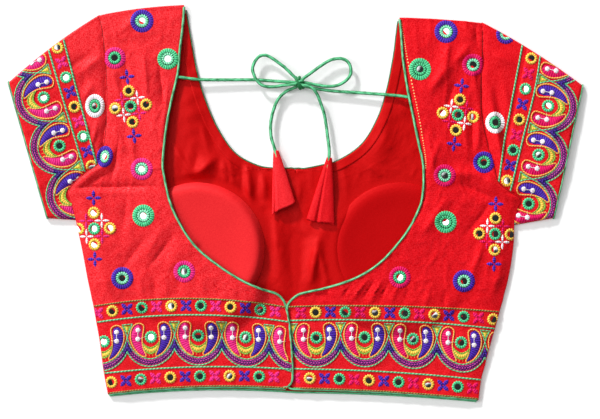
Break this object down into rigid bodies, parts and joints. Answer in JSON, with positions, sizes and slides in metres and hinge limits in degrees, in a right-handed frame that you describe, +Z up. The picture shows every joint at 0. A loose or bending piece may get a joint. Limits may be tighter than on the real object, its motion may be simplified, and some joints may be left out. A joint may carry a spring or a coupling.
{
  "type": "choli blouse",
  "caption": "Short red padded choli blouse laid flat, back up: deep round back neck with a tied dori, hooked centre back, short sleeves, mirror-work borders.",
  "frame": {"origin": "on the surface the blouse lies on, under the middle of the laid-out blouse without its dori", "axes": "+X across the blouse from the left sleeve to the right one as seen from above, +Y from the hem up to the shoulders, +Z up from the surface, away from the front"},
  "size_m": [0.5771, 0.3976, 0.0133],
  "materials": {
    "cloth": "red silk cloth with its lining, satin sheen",
    "lining": "deep red lining cloth, soft sheen",
    "border": "red silk covered with thread embroidery and small mirrors",
    "cord": "green bias-cut piping and cord, satin sheen"
  },
  "bodies": {
    "root": {"back_left": "cloth", "back_placket": "cloth", "back_right": "cloth", "cuff_piping_left": "cord", "cuff_piping_right": "cord", "cup_left": "lining", "cup_right": "lining", "dori_knot": "cord", "dori_loop_left": "cord", "dori_loop_right": "cord", "dori_run_left": "cord", "dori_run_right": "cord", "dori_tail_left": "cord", "dori_tail_right": "cord", "front": "lining", "front_hem_piping": "cord", "front_neck_facing": "lining", "front_neck_piping": "cord", "hem_border_left": "border", "hem_border_right": "border", "hem_piping_left": "cord", "hem_piping_right": "cord", "neck_piping_left": "cord", "neck_piping_right": "cord", "sleeve_border_left": "border", "sleeve_border_right": "border", "sleeve_left": "cloth", "sleeve_right": "cloth", "tassel_left": "cloth", "tassel_right": "cloth"}
  },
  "joints": []
}
